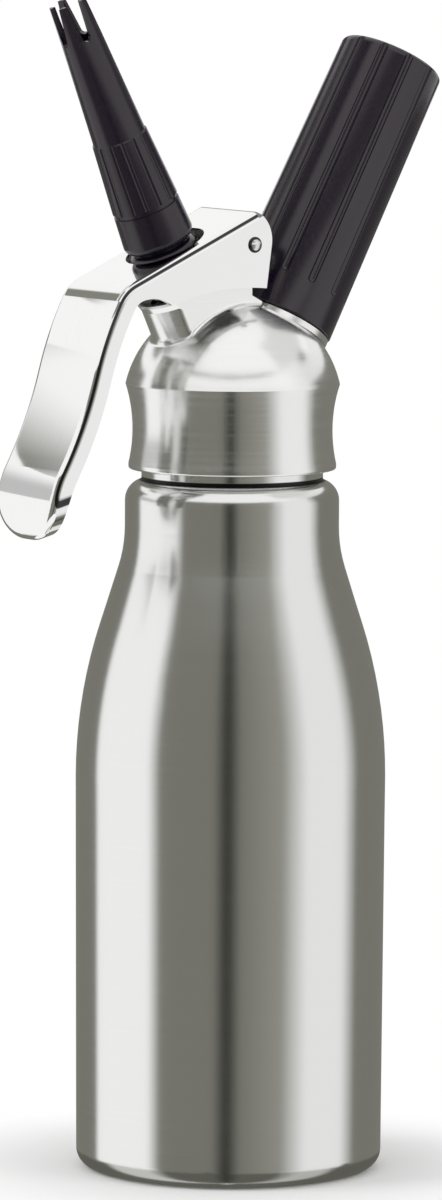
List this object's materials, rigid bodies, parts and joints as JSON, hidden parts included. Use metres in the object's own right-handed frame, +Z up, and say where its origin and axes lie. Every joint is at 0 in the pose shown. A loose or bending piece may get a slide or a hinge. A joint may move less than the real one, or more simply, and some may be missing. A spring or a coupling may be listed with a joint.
{
  "type": "whipped cream dispenser",
  "caption": "Steel bottle with a screwed head that carries a squeeze lever, a sprung valve with a decorator tip and a ribbed charger holder.",
  "frame": {"origin": "on the bottle's axis, in the plane that its foot stands on", "axes": "+Z up along the bottle, the squeeze lever towards -X, the charger holder towards +X, XZ the plane of symmetry"},
  "size_m": [0.1245, 0.08, 0.304],
  "materials": {
    "bottle_steel": "fine vertical brushing, satin",
    "head_steel": "smooth satin",
    "lever_chrome": "mirror polish",
    "pin_steel": "polished domed heads",
    "turned_steel": "turned",
    "spring_steel": "drawn wire",
    "bushing_brass": "turned",
    "connector_brass": "turned",
    "insert_steel": "turned",
    "soft_rubber": "matt",
    "black_collar": "satin",
    "black_tip": "soft gloss",
    "black_sleeve": "soft gloss"
  },
  "bodies": {
    "bottle": {"bottle": "bottle_steel"},
    "gasket": {"head_gasket": "soft_rubber"},
    "head": {"head_casting": "head_steel", "valve_bushing": "bushing_brass", "charger_connector": "connector_brass", "piercing_pin": "turned_steel", "charger_gasket": "soft_rubber", "check_valve": "soft_rubber", "lever_pin": "pin_steel", "valve_spring": "spring_steel"},
    "lever": {"lever": "lever_chrome"},
    "valve": {"valve_stem": "turned_steel", "valve_seal": "soft_rubber", "seal_nut": "turned_steel", "stem_o_ring": "soft_rubber", "thrust_washer": "turned_steel", "tip_adapter": "black_collar"},
    "tip_seal": {"tip_gasket": "soft_rubber"},
    "tip": {"decorator_tip": "black_tip"},
    "insert": {"holder_insert": "insert_steel"},
    "holder": {"charger_holder": "black_sleeve"}
  },
  "joints": [
    {"name": "head_lift", "type": "slide", "parent": "bottle", "child": "gasket", "axis": [0, 0, 1], "range_m": [0, 0.07]},
    {"name": "head_turn", "type": "hinge", "parent": "gasket", "child": "head", "pos_m": [0, 0, 0.1995], "axis": [0, 0, 1], "continuous": true},
    {"name": "lever_squeeze", "type": "hinge", "parent": "head", "child": "lever", "pos_m": [-0.00272, 0, 0.24003], "axis": [0, -1, 0], "range_deg": [0, 12], "stiffness_Nm_per_rad": 1.27, "springref_deg": -16.04},
    {"name": "valve_travel", "type": "slide", "parent": "head", "child": "valve", "axis": [0.4179, 0, -0.9085], "range_m": [0, 0.004], "deforming": ["valve_spring"]},
    {"name": "tip_lift", "type": "slide", "parent": "valve", "child": "tip_seal", "axis": [-0.4179, 0, 0.9085], "range_m": [0, 0.015]},
    {"name": "tip_turn", "type": "hinge", "parent": "tip_seal", "child": "tip", "pos_m": [0, 0, 0.19152], "axis": [-0.4179, 0, 0.9085], "continuous": true},
    {"name": "holder_lift", "type": "slide", "parent": "head", "child": "insert", "axis": [0.4726, 0, 0.8813], "range_m": [0, 0.05]},
    {"name": "holder_turn", "type": "hinge", "parent": "insert", "child": "holder", "pos_m": [0, 0, 0.19462], "axis": [0.4726, 0, 0.8813], "continuous": true}
  ],
  "couplings": [
    {"joint": "valve_travel", "follows": "lever_squeeze", "m_per_rad": 0.0184}
  ]
}
